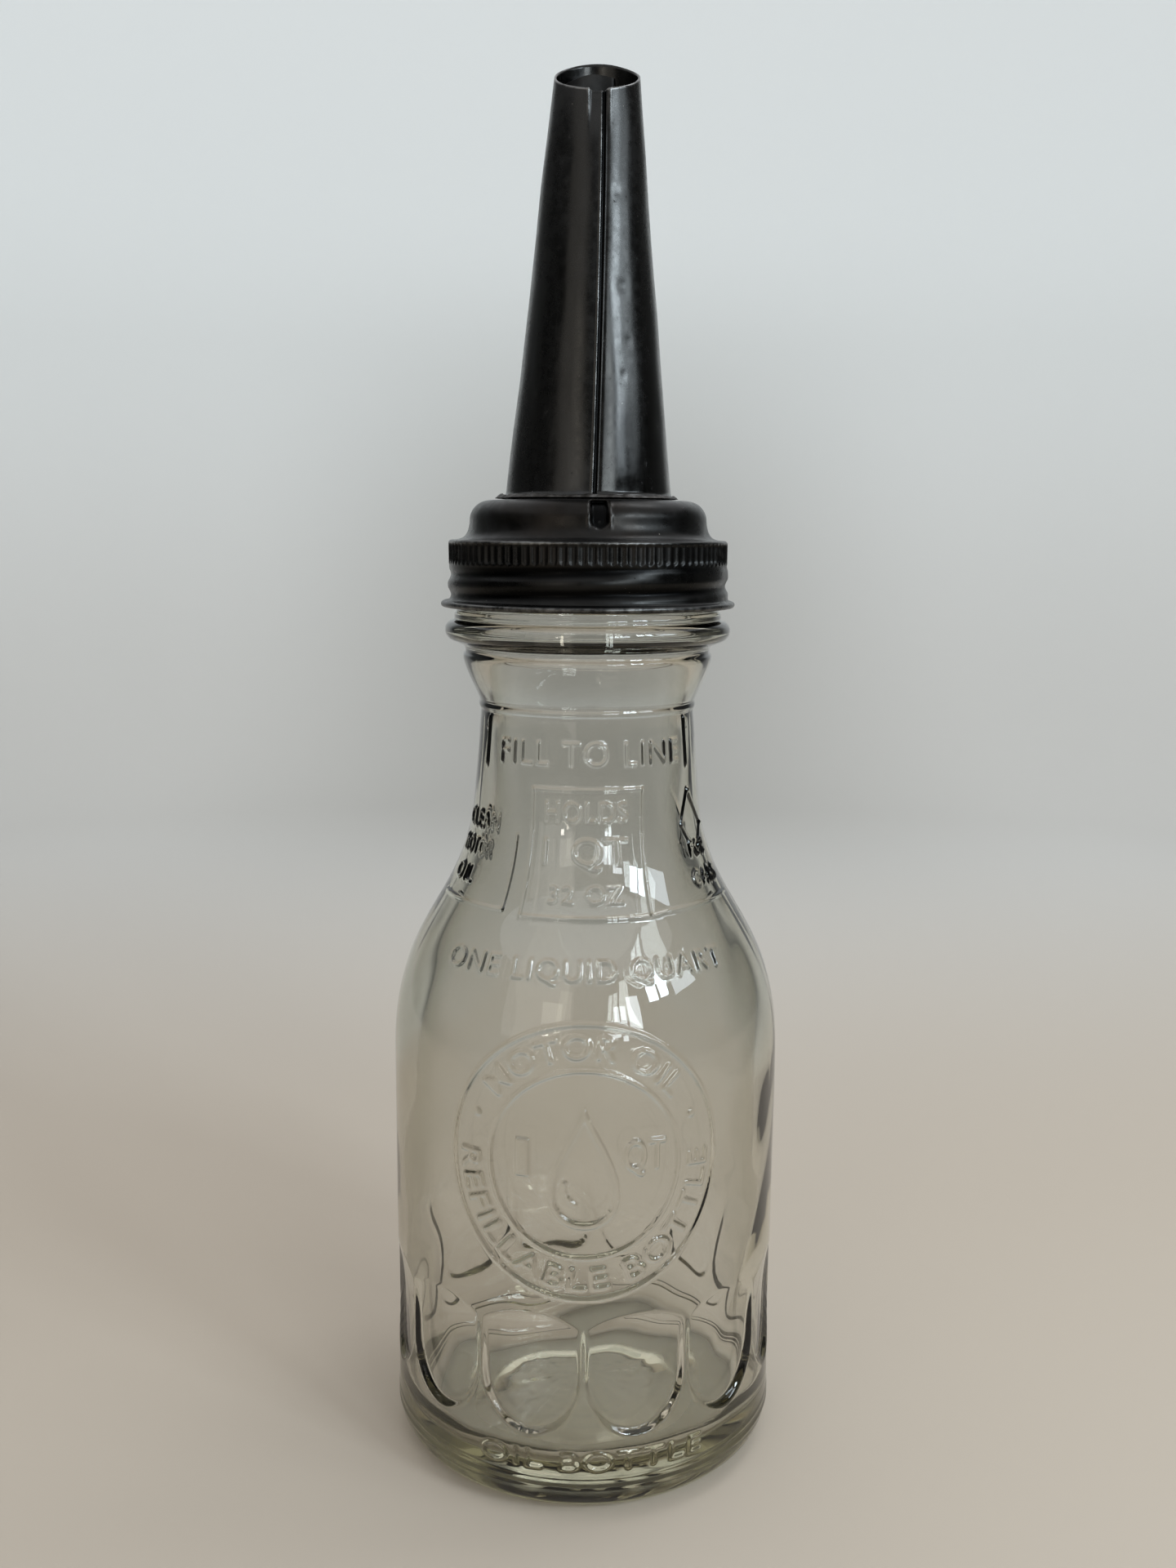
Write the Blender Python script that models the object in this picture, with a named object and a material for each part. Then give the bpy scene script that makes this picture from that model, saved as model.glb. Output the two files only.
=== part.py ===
"""Glass oil bottle with a screw-on pouring spout.

A moulded quart bottle, and a tin cap that screws onto its neck. A rolled tin cone is soldered on the cap.
The part stands on the XY plane with its axis on +Z and the origin in the middle of its base. Numbers are in
millimetres and degrees until make_object() turns the finished shape into metres.
"""

import math

import bmesh
import bpy
from mathutils import Vector
from mathutils.geometry import interpolate_bezier

METRES = 0.001
COLUMNS = 48          # faces round each turned piece
GAP = 0.3             # clearance between pieces that touch

# Glass
BODY_RADIUS = 50.8
BODY_TOP = 107.0
HEEL_RADIUS = 9.0
WALL = 5.0
FLOOR_HEIGHT = 10.5
REST_RING_INNER = 30.0
PUSH_UP = 2.6
NECK_BASE = (29.15, 174.5)
NECK_TOP = (27.4, 197.0)
FILL_RING = 0.3       # the raised fill line round the neck
COLLAR = (32.1, 213.7)
BEAD = (36.6, 217.2)
LAND_RADIUS = 34.2
FINISH_RADIUS = 33.6
LIP_TOP = 237.3
LIP_RADIUS = 1.5
MOUTH_RADIUS = 29.2
THROAT_RADIUS = 23.0

# Thread, a single start one: five turns to the inch
PITCH = 5.08
GROOVE_HEIGHT = 226.0         # of the skirt's rolled groove where it crosses azimuth 180
GROOVE_TURN = (100.0, 660.0)  # azimuths where the groove starts and ends
GROOVE_DEPTH = 0.8
GROOVE_HALF_WIDTH = 2.3
RIDGE_TURN = (140.0, 520.0)
RIDGE_HEIGHT = 1.35
RIDGE_HALF_WIDTH = 1.5
THREAD_FADE = 25.0            # degrees over which both run out
THREAD_ROWS = 11

# Cap
SHEET = 0.5
DOME_TOP = 249.9
DOME_HOLE = 19.8
DOME_CORNER = 5.0
DOME_RADIUS = 30.0
SHOULDER_TOP = 239.8
BAND_RADIUS = 35.44
BAND_BOTTOM = 234.2
SKIRT_RADIUS = 35.75
FLANGE_RADIUS = 37.5
FLANGE_BOTTOM = 222.9

# Vent pocket pressed into the dome below the cone's seam
SEAM_BASE_AZIMUTH = 275.6
SEAM_TOP_AZIMUTH = 282.0
POCKET_HEIGHT = 244.6
POCKET_HALF = (3.6, 3.6)
POCKET_DEPTH = 1.6
VENT_HOLE_RADIUS = 0.6
VENT_HOLE_DROP = 1.6

# Cone
CONE_BASE_RADIUS = 21.0
CONE_MOUTH_RADIUS = 10.3
CONE_MOUTH_HEIGHT = 351.0
MOUTH_TILT = 28.0
CONE_ROWS = 7
FOOT_RADIUS = 21.6
SEAM_HALF_WIDTH = 0.55
SEAM_DEPTH = 0.6

# Vent duct inside the cone
DUCT_AZIMUTHS = (62.0, 168.0)
DUCT_STAND_OFF = 2.0
DUCT_DROP = 3.0
DUCT_SHEET = 0.4

SOLDER_WIDTH = 1.3
SOLDER_HEIGHT = 0.9
GASKET_THICKNESS = 1.4
GASKET_RADII = (29.4, 34.4)


def arc(centre, radius, start, end, steps):
    """Points on an arc in the profile plane, from azimuth start to end in degrees."""
    points = []
    for i in range(steps + 1):
        angle = math.radians(start + (end - start) * i / steps)
        points.append((centre[0] + radius * math.cos(angle), centre[1] + radius * math.sin(angle)))
    return points


def curve(start, start_handle, end_handle, end, steps):
    """Points on a Bezier curve in the profile plane."""
    knots = [Vector((p[0], 0.0, p[1])) for p in (start, start_handle, end_handle, end)]
    return [(p.x, p.z) for p in interpolate_bezier(*knots, steps + 1)]


def straight(start, end, steps):
    """Points on a straight line, both ends included."""
    return [(start[0] + (end[0] - start[0]) * i / steps, start[1] + (end[1] - start[1]) * i / steps)
            for i in range(steps + 1)]


def turned(profile, closed):
    """A bmesh of a profile spun round the Z axis. An open profile starts and ends on the axis."""
    bm = bmesh.new()
    verts = [bm.verts.new((r, 0.0, z)) for r, z in profile]
    pairs = list(zip(verts, verts[1:])) + ([(verts[-1], verts[0])] if closed else [])
    edges = [bm.edges.new(pair) for pair in pairs]
    bmesh.ops.spin(bm, geom=verts + edges, cent=(0, 0, 0), axis=(0, 0, 1), dvec=(0, 0, 0),
                   angle=2 * math.pi, steps=COLUMNS, use_merge=True, use_duplicate=False)
    bmesh.ops.remove_doubles(bm, verts=bm.verts, dist=0.0005)
    bmesh.ops.recalc_face_normals(bm, faces=bm.faces)
    return bm


def azimuth(point):
    """Degrees from +X towards +Y, from 0 to 360."""
    return math.degrees(math.atan2(point.y, point.x)) % 360.0


def set_radius(vert, radius):
    """Move a vertex along its own azimuth."""
    angle = math.atan2(vert.co.y, vert.co.x)
    vert.co.x, vert.co.y = radius * math.cos(angle), radius * math.sin(angle)


def helix_bump(angle, height, start_height, turn, half_width):
    """How far, from 0 to 1, a rounded thread reaches at this azimuth and height."""
    most = 0.0
    for lap in range(3):
        unrolled = angle + 360.0 * lap
        if not turn[0] < unrolled < turn[1]:
            continue
        off = abs(height - (start_height + PITCH * (unrolled - 180.0) / 360.0))
        if off < half_width:
            fade = min(1.0, (unrolled - turn[0]) / THREAD_FADE, (turn[1] - unrolled) / THREAD_FADE)
            most = max(most, fade * math.cos(0.5 * math.pi * off / half_width) ** 2)
    return most


def make_object(name, bm, colour, metallic, roughness, transmission=0.0):
    """Scale the finished shape to metres and give it its own material."""
    bmesh.ops.scale(bm, vec=(METRES, METRES, METRES), verts=bm.verts)
    mesh = bpy.data.meshes.new(name)
    bm.to_mesh(mesh)
    bm.free()
    mesh.shade_smooth()
    mesh.set_sharp_from_angle(angle=math.radians(35))
    material = bpy.data.materials.new(name)
    material.use_nodes = True
    shader = material.node_tree.nodes["Principled BSDF"]
    shader.inputs["Base Color"].default_value = (*colour, 1.0)
    shader.inputs["Metallic"].default_value = metallic
    shader.inputs["Roughness"].default_value = roughness
    shader.inputs["Transmission Weight"].default_value = transmission
    mesh.materials.append(material)
    obj = bpy.data.objects.new(name, mesh)
    bpy.context.scene.collection.objects.link(obj)
    return obj


def bottle_outside():
    """The bottle's outer profile, from the middle of its base up to the lip."""
    side = BODY_RADIUS - HEEL_RADIUS
    ring = REST_RING_INNER
    points = [(0.0, PUSH_UP), (ring - 8.0, PUSH_UP - 0.2), (ring - 1.5, 0.9), (ring, 0.0)]
    points += arc((side, HEEL_RADIUS), HEEL_RADIUS, 270, 360, 6)
    neck_slope = (NECK_BASE[0] - NECK_TOP[0]) / (NECK_TOP[1] - NECK_BASE[1])
    handle = 29.0
    points += curve((BODY_RADIUS, BODY_TOP), (BODY_RADIUS, BODY_TOP + 35.5),
                    (NECK_BASE[0] + neck_slope * handle, NECK_BASE[1] - handle), NECK_BASE, 10)
    points += [NECK_TOP, (NECK_TOP[0] + FILL_RING, NECK_TOP[1] + 0.3), (NECK_TOP[0] + FILL_RING, 199.2)]
    points += curve((27.8, 200.0), (29.4, 203.5), (31.6, 207.5), (32.0, 210.2), 3)
    points += [(31.4, 211.8), COLLAR]
    points += arc((BEAD[0] - 2.7, BEAD[1]), 2.7, 285, 435, 5)
    points += [(LAND_RADIUS, 219.9), (LAND_RADIUS, 221.4), (FINISH_RADIUS, 222.2)]
    points += straight((FINISH_RADIUS, 225.8), (FINISH_RADIUS, 235.0), THREAD_ROWS)
    points += arc((FINISH_RADIUS - LIP_RADIUS, LIP_TOP - LIP_RADIUS), LIP_RADIUS, 0, 90, 2)
    return points


def bottle_inside():
    """The bottle's inner profile, from the lip down to the middle of its floor."""
    inner = BODY_RADIUS - WALL
    corner = 9.0
    points = arc((MOUTH_RADIUS + LIP_RADIUS, LIP_TOP - LIP_RADIUS), LIP_RADIUS, 90, 180, 2)
    points += [(MOUTH_RADIUS, 215.0)]
    points += curve((28.6, 211.5), (26.5, 205.5), (THROAT_RADIUS, 203.5), (THROAT_RADIUS, 197.0), 3)
    points += curve((24.4, 173.0), (26.6, 146.0), (inner, 138.0), (inner, 103.0), 9)
    points += arc((inner - corner, FLOOR_HEIGHT + corner), corner, 360, 270, 4)
    points += [(18.0, FLOOR_HEIGHT + 0.6), (0.0, FLOOR_HEIGHT + 1.2)]
    return points


def make_bottle():
    """The moulded glass bottle, with the thread that the cap screws onto."""
    bm = turned(bottle_outside() + bottle_inside(), closed=False)
    ridge_height = GROOVE_HEIGHT + PITCH / 2
    for vert in bm.verts:
        radius = math.hypot(vert.co.x, vert.co.y)
        if abs(radius - FINISH_RADIUS) < 0.01 and vert.co.z > 225.0:
            bump = helix_bump(azimuth(vert.co), vert.co.z, ridge_height, RIDGE_TURN, RIDGE_HALF_WIDTH)
            set_radius(vert, FINISH_RADIUS + RIDGE_HEIGHT * bump)
    return make_object("glass_bottle", bm, (0.78, 0.80, 0.74), 0.0, 0.04, transmission=1.0)


def cap_outside():
    """The cap's outer profile, from the hole in its dome down to the rolled flange."""
    corner = (DOME_RADIUS - DOME_CORNER, DOME_TOP - 0.3 - DOME_CORNER)
    points = [(DOME_HOLE, DOME_TOP)] + arc(corner, DOME_CORNER, 90, 0, 4)
    points += [(30.5, 242.4), (31.1, 240.9), (32.3, 240.1), (34.5, SHOULDER_TOP), (35.3, 239.2)]
    points += [(BAND_RADIUS, 238.3), (BAND_RADIUS, BAND_BOTTOM)]
    points += straight((SKIRT_RADIUS - 0.1, 233.3), (SKIRT_RADIUS, 225.3), THREAD_ROWS)
    points += [(36.3, 224.7), (37.1, 224.5), (FLANGE_RADIUS, 223.8), (37.1, 223.1), (36.2, FLANGE_BOTTOM)]
    return points


def cap_inside():
    """The cap's inner profile, from the flange back up to the hole."""
    inner = SKIRT_RADIUS - SHEET
    corner = (DOME_RADIUS - DOME_CORNER, DOME_TOP - 0.3 - DOME_CORNER)
    points = [(inner + 0.2, FLANGE_BOTTOM + 0.1), (inner, 223.7)]
    points += straight((inner, 225.3), (inner, 233.5), THREAD_ROWS)
    points += [(BAND_RADIUS - SHEET, BAND_BOTTOM + 0.3), (BAND_RADIUS - SHEET, 238.5)]
    points += [(34.4, SHOULDER_TOP - SHEET), (32.2, SHOULDER_TOP - SHEET), (30.6, 240.6), (30.0, 242.4)]
    points += arc(corner, DOME_CORNER - SHEET, 0, 90, 4) + [(DOME_HOLE, DOME_TOP - SHEET)]
    return points


def press_pocket(vert):
    """Push a vertex of the dome's wall in where the vent pocket is."""
    radius = math.hypot(vert.co.x, vert.co.y)
    across = math.radians(azimuth(vert.co) - SEAM_BASE_AZIMUTH) * radius / POCKET_HALF[0]
    up = (vert.co.z - POCKET_HEIGHT) / POCKET_HALF[1]
    if abs(across) < 1.0 and abs(up) < 1.0 and radius < 31.0:
        set_radius(vert, radius - POCKET_DEPTH * math.sqrt((1.0 - across ** 2) * (1.0 - up ** 2)))


def drill_vent_hole(cap):
    """Cut the small vent hole through the pocket with a hidden drill."""
    angle = math.radians(SEAM_BASE_AZIMUTH)
    bm = bmesh.new()
    bmesh.ops.create_cone(bm, cap_ends=True, segments=8, radius1=VENT_HOLE_RADIUS * METRES,
                          radius2=VENT_HOLE_RADIUS * METRES, depth=8.0 * METRES)
    mesh = bpy.data.meshes.new("vent_drill")
    bm.to_mesh(mesh)
    bm.free()
    drill = bpy.data.objects.new("vent_drill", mesh)
    bpy.context.scene.collection.objects.link(drill)
    reach = DOME_RADIUS * METRES
    height = (POCKET_HEIGHT - VENT_HOLE_DROP) * METRES
    drill.location = (reach * math.cos(angle), reach * math.sin(angle), height)
    drill.rotation_euler = (math.pi / 2, 0.0, angle + math.pi / 2)
    drill.hide_render = True
    drill.display_type = "WIRE"
    cut = cap.modifiers.new("vent_hole", "BOOLEAN")
    cut.operation = "DIFFERENCE"
    cut.object = drill


def make_cap():
    """The one-piece tin cap: dome, grip band, threaded skirt and rolled flange."""
    bm = turned(cap_outside() + cap_inside(), closed=True)
    for vert in bm.verts:
        radius = math.hypot(vert.co.x, vert.co.y)
        if vert.co.z < BAND_BOTTOM - 0.05 and radius < SKIRT_RADIUS + 0.05:
            bump = helix_bump(azimuth(vert.co), vert.co.z, GROOVE_HEIGHT, GROOVE_TURN, GROOVE_HALF_WIDTH)
            set_radius(vert, radius - GROOVE_DEPTH * bump)
        press_pocket(vert)
    cap = make_object("screw_cap", bm, (0.05, 0.05, 0.052), 0.9, 0.42)
    drill_vent_hole(cap)
    return cap


def cone_radius(height):
    """The cone's outer radius at a height."""
    foot = DOME_TOP + GAP
    share = (height - foot) / (CONE_MOUTH_HEIGHT - foot)
    return CONE_BASE_RADIUS + (CONE_MOUTH_RADIUS - CONE_BASE_RADIUS) * share


def rim_height(angle):
    """Height of the slanting mouth at an azimuth in degrees, highest at the back."""
    return CONE_MOUTH_HEIGHT + CONE_MOUTH_RADIUS * math.tan(math.radians(MOUTH_TILT)) * math.sin(
        math.radians(angle))


def slant_mouth(vert):
    """Stretch a vertex of the straight cone up or down to the slanting mouth, on the cone's own slope."""
    foot = DOME_TOP + GAP
    share = max(0.0, (vert.co.z - foot) / (CONE_MOUTH_HEIGHT - foot))
    depth = cone_radius(vert.co.z) - math.hypot(vert.co.x, vert.co.y)
    vert.co.z = foot + (vert.co.z - foot) * (rim_height(azimuth(vert.co)) - foot) / (
        CONE_MOUTH_HEIGHT - foot)
    if share > 0.02:
        set_radius(vert, cone_radius(vert.co.z) - depth)


def fold_seam(vert, column_step):
    """Gather three columns of vertices into the narrow folded seam and sink the middle one."""
    column = round((azimuth(vert.co) - SEAM_BASE_AZIMUTH) / column_step)
    share = (vert.co.z - DOME_TOP) / (CONE_MOUTH_HEIGHT - DOME_TOP)
    seam = SEAM_BASE_AZIMUTH + (SEAM_TOP_AZIMUTH - SEAM_BASE_AZIMUTH) * min(1.0, max(0.0, share))
    if abs(column) > 1:
        return
    radius = math.hypot(vert.co.x, vert.co.y)
    angle = math.radians(seam) + column * SEAM_HALF_WIDTH / radius
    if column == 0 and share > 0.02:
        radius -= SEAM_DEPTH
    vert.co.x, vert.co.y = radius * math.cos(angle), radius * math.sin(angle)


def make_cone():
    """The rolled tin cone, with its folded front seam, turned-out foot and slanting mouth."""
    foot = DOME_TOP + GAP
    mouth = (CONE_MOUTH_RADIUS, CONE_MOUTH_HEIGHT)
    wall_base = (cone_radius(foot + 1.6), foot + 1.6)
    profile = [(CONE_BASE_RADIUS - SHEET, foot), (FOOT_RADIUS, foot), (FOOT_RADIUS, foot + SHEET)]
    profile += straight(wall_base, mouth, CONE_ROWS)
    profile += straight((mouth[0] - SHEET, mouth[1]), (wall_base[0] - SHEET, wall_base[1]), CONE_ROWS)
    bm = turned(profile, closed=True)
    column_step = 360.0 / COLUMNS
    for vert in bm.verts:
        fold_seam(vert, column_step)
    for vert in bm.verts:
        slant_mouth(vert)
    return make_object("spout_cone", bm, (0.055, 0.052, 0.05), 0.9, 0.4)


def make_duct():
    """The curved strip inside the cone that closes off an air passage along its back wall."""
    columns, rows = 10, 6
    floor = DOME_TOP + GAP + 1.0
    bm = bmesh.new()
    grid = []
    for skin in (0.0, DUCT_SHEET):
        for row in range(rows + 1):
            line = []
            for column in range(columns + 1):
                share = column / columns
                angle = DUCT_AZIMUTHS[0] + (DUCT_AZIMUTHS[1] - DUCT_AZIMUTHS[0]) * share
                top = rim_height(angle) - DUCT_DROP
                height = floor + (top - floor) * row / rows
                stand_off = GAP + 0.1 + DUCT_STAND_OFF * math.sin(math.pi * share) ** 0.7
                radius = cone_radius(height) - SHEET - stand_off - skin
                spin = math.radians(angle)
                line.append(bm.verts.new((radius * math.cos(spin), radius * math.sin(spin), height)))
            grid.append(line)
    outer, inner = grid[:rows + 1], grid[rows + 1:]
    for skin in (outer, inner):
        for low, high in zip(skin, skin[1:]):
            for i in range(columns):
                bm.faces.new((low[i], low[i + 1], high[i + 1], high[i]))
    rim_outer = outer[0] + [line[-1] for line in outer[1:-1]] + outer[-1][::-1] + [
        line[0] for line in outer[-2:0:-1]]
    rim_inner = inner[0] + [line[-1] for line in inner[1:-1]] + inner[-1][::-1] + [
        line[0] for line in inner[-2:0:-1]]
    for i in range(len(rim_outer)):
        j = (i + 1) % len(rim_outer)
        bm.faces.new((rim_outer[i], rim_inner[i], rim_inner[j], rim_outer[j]))
    bmesh.ops.recalc_face_normals(bm, faces=bm.faces)
    return make_object("vent_duct", bm, (0.10, 0.10, 0.10), 0.85, 0.5)


def make_solder():
    """The ring of solder that holds the cone's foot to the dome."""
    inner, floor = FOOT_RADIUS + GAP, DOME_TOP + 0.2
    profile = [(inner, floor), (inner + SOLDER_WIDTH, floor), (inner + SOLDER_WIDTH, floor + 0.2),
               (inner + 0.4, floor + SOLDER_HEIGHT), (inner, floor + SOLDER_HEIGHT)]
    return make_object("solder_joint", turned(profile, closed=True), (0.22, 0.22, 0.21), 0.8, 0.5)


def make_gasket():
    """The flat sealing ring between the bottle's lip and the cap's shoulder."""
    inner, outer = GASKET_RADII
    floor = LIP_TOP + GAP
    profile = [(inner, floor), (outer, floor), (outer, floor + GASKET_THICKNESS),
               (inner, floor + GASKET_THICKNESS)]
    return make_object("sealing_gasket", turned(profile, closed=True), (0.25, 0.16, 0.09), 0.0, 0.85)


def main():
    """Clear the scene and make the pieces."""
    for obj in list(bpy.data.objects):
        bpy.data.objects.remove(obj)
    make_bottle()
    make_gasket()
    make_cap()
    make_cone()
    make_duct()
    make_solder()


main()
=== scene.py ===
import math
import bmesh
import bpy
import numpy as np
from mathutils import Matrix, Vector


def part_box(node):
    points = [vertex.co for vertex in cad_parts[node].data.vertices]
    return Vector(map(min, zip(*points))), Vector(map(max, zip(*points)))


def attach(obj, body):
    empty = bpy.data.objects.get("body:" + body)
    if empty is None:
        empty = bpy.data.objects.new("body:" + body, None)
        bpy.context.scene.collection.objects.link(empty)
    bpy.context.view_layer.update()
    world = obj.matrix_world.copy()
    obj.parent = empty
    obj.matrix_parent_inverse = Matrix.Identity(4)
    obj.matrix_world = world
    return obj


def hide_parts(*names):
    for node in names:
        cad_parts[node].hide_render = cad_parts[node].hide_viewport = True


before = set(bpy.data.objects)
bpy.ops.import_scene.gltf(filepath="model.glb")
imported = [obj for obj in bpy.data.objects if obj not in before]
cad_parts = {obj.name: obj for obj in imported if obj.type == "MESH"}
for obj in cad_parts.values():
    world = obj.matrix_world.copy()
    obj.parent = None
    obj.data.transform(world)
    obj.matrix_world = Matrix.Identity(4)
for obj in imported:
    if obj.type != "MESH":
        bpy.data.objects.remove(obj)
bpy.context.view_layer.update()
glassLow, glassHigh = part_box("glass_bottle")
capLow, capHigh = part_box("screw_cap")
coneLow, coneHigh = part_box("spout_cone")
ductLow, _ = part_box("vent_duct")
solderLow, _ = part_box("solder_joint")
gasketLow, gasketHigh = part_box("sealing_gasket")
perMetre = 1000.0   # shapes are worked out in millimetres and turned into metres when a mesh is made


# an outline is a row of (radius, height) points
def arcLine(centre, radius, start, end, steps=24):
    turn = np.radians(np.linspace(start, end, steps + 1))
    return np.stack([centre[0] + radius * np.cos(turn), centre[1] + radius * np.sin(turn)], 1)


def bentLine(a, b, c, d, steps=60):
    t = np.linspace(0, 1, steps + 1)[:, None]
    a, b, c, d = (np.array(p, float) for p in (a, b, c, d))
    return (1 - t) ** 3 * a + 3 * (1 - t) ** 2 * t * b + 3 * (1 - t) * t * t * c + t ** 3 * d


def spacedLine(parts, spacingAt):
    # walks along an outline and drops a point every so often; spacingAt(radius, height) says how far apart
    line = np.concatenate([np.atleast_2d(np.array(p, float)) for p in parts])
    steps = np.hypot(*np.diff(line, axis=0).T)
    line = line[np.concatenate([[True], steps > 1e-6])]
    along = np.concatenate([[0], np.cumsum(np.hypot(*np.diff(line, axis=0).T))])
    places = [0.0]
    while places[-1] < along[-1]:
        r = np.interp(places[-1], along, line[:, 0])
        z = np.interp(places[-1], along, line[:, 1])
        places.append(places[-1] + spacingAt(r, z))
    places[-1] = along[-1]
    places = np.array(places)
    return np.stack([np.interp(places, along, line[:, 0]), np.interp(places, along, line[:, 1])], 1), places


def outwards(line):
    # the direction that points out of the material at each point of an outline
    slope = np.gradient(line, axis=0)
    size = np.maximum(np.hypot(slope[:, 0], slope[:, 1]), 1e-9)
    return np.stack([slope[:, 1] / size, -slope[:, 0] / size], 1)


def smoothStep(low, high, value):
    t = np.clip((value - low) / (high - low), 0, 1)
    return t * t * (3 - 2 * t)


def ripple(angle, height, waves):
    # slow unevenness: each wave is (turns, length in mm, shift, size in mm)
    total = 0.0
    for turns, length, shift, size in waves:
        total = total + size * np.sin(turns * angle + 2 * math.pi * height / length + shift)
    return total


def turnsOf(columns):
    # azimuths from the front, positive to the right, from (end, spacing) pairs going out from the front
    right, start = [], 0.0
    for end, spacing in columns:
        count = max(1, round((end - start) / spacing))
        right += list(start + (end - start) * np.arange(count) / count)
        start = end
    right = np.array(right)
    return np.radians(np.concatenate([right, [180.0], -right[:0:-1]]))


def ringMesh(name, rings, poles=False, closed=False, marks=None):
    # rings is rows x columns x 3 in mm; each row is a closed ring that runs anticlockwise seen from above
    rows, columns = rings.shape[:2]
    points = rings.reshape(-1, 3)
    here = np.arange(rows * columns).reshape(rows, columns)
    low, high = (here, np.roll(here, -1, axis=0)) if closed else (here[:-1], here[1:])
    nextLow, nextHigh = np.roll(low, -1, axis=1), np.roll(high, -1, axis=1)
    quads = np.stack([low, nextLow, nextHigh, high], -1).reshape(-1, 4)
    caps = []
    if poles:
        first, last = len(points), len(points) + 1
        points = np.concatenate([points, [rings[0].mean(0), rings[-1].mean(0)]])
        caps = [(first, int(here[0][(i + 1) % columns]), int(here[0][i])) for i in range(columns)]
        caps += [(last, int(here[-1][i]), int(here[-1][(i + 1) % columns])) for i in range(columns)]
    corners = np.concatenate([quads.ravel(), np.array(caps, int).ravel()]).astype(np.int32)
    sizes = np.concatenate([np.full(len(quads), 4), np.full(len(caps), 3)]).astype(np.int32)
    mesh = bpy.data.meshes.new(name)
    mesh.vertices.add(len(points))
    mesh.vertices.foreach_set("co", (points / perMetre).astype(np.float32).ravel())
    mesh.loops.add(len(corners))
    mesh.loops.foreach_set("vertex_index", corners)
    mesh.polygons.add(len(sizes))
    mesh.polygons.foreach_set("loop_start", np.concatenate([[0], np.cumsum(sizes)[:-1]]).astype(np.int32))
    mesh.update(calc_edges=True)
    mesh.validate()
    for label, values in (marks or {}).items():
        values = np.concatenate([values.ravel(), [0.0, 0.0]])[:len(points)] if poles else values.ravel()
        mesh.attributes.new(label, "FLOAT", "POINT").data.foreach_set("value", values.astype(np.float32))
    mesh.shade_smooth()
    thing = bpy.data.objects.new(name, mesh)
    bpy.context.scene.collection.objects.link(thing)
    return thing


def turnedPoints(radius, height, angle):
    # radius and height are rows x columns; angle is one row or rows x columns, from the front to the right
    return np.stack([radius * np.sin(angle), -radius * np.cos(angle), height + 0 * radius], -1)


# a stamp is a small grid of heights, from 0 to 1, for a word or a mark that is raised on the glass
stampCell = 0.12     # mm from one height to the next
stampMargin = 1.5    # flat rim round the mark, in mm


def stampOf(corners, triangles, soften):
    low, high = corners.min(0) - stampMargin, corners.max(0) + stampMargin
    size = np.ceil((high - low) / stampCell).astype(int) + 1
    grid = np.zeros((size[1], size[0]))
    for triangle in triangles:
        a, b, c = corners[triangle]
        near = np.floor((np.minimum(np.minimum(a, b), c) - low) / stampCell).astype(int)
        far = np.ceil((np.maximum(np.maximum(a, b), c) - low) / stampCell).astype(int) + 1
        x = low[0] + stampCell * np.arange(near[0], far[0])[None, :]
        y = low[1] + stampCell * np.arange(near[1], far[1])[:, None]
        inside = np.ones((y.shape[0], x.shape[1]), bool)
        turn = np.sign((b[0] - a[0]) * (c[1] - a[1]) - (b[1] - a[1]) * (c[0] - a[0])) or 1.0
        for p, q in ((a, b), (b, c), (c, a)):
            inside &= turn * ((q[0] - p[0]) * (y - p[1]) - (q[1] - p[1]) * (x - p[0])) >= -1e-9
        grid[near[1]:far[1], near[0]:far[0]][inside] = 1.0
    for _ in range(soften):
        for axis in (0, 1):
            grid = (np.roll(grid, 1, axis) + 2 * grid + np.roll(grid, -1, axis)) / 4
    return {"low": low, "grid": grid}


def letterStamp(words, tall, wide, soften, heavy=0.0):
    # plain block letters, made tall and wide in mm, with their middle at 0, 0
    curve = bpy.data.curves.new("letters", "FONT")
    curve.body = words
    curve.offset = heavy
    curve.space_character = 1.12
    thing = bpy.data.objects.new("letters", curve)
    bpy.context.scene.collection.objects.link(thing)
    shown = thing.evaluated_get(bpy.context.evaluated_depsgraph_get())
    mesh = bpy.data.meshes.new_from_object(shown)
    mesh.calc_loop_triangles()
    corners = np.array([v.co[:2] for v in mesh.vertices])
    triangles = np.array([t.vertices[:] for t in mesh.loop_triangles])
    bpy.data.objects.remove(thing)
    bpy.data.curves.remove(curve)
    bpy.data.meshes.remove(mesh)
    low, high = corners.min(0), corners.max(0)
    corners = (corners - (low + high) / 2) * np.array([wide, tall]) / (high - low)
    return stampOf(corners, triangles, soften)


def dropStamp(tall, wide, shrink=0.0, soften=5):
    # an oil drop: round below, pointed above; shrink draws its edge in
    t = np.linspace(0, 2 * math.pi, 73)[:-1]
    edge = np.stack([wide / 2 * 1.3 * np.sin(t) * np.sin(t / 2) ** 1.6, tall / 2 * np.cos(t)], 1)
    middle = np.array([0.0, -tall * 0.18])
    edge = middle + (edge - middle) * (1 - shrink)
    corners = np.concatenate([[middle], edge])
    triangles = [(0, 1 + i, 1 + (i + 1) % len(edge)) for i in range(len(edge))]
    return stampOf(corners, np.array(triangles), soften)


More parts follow.
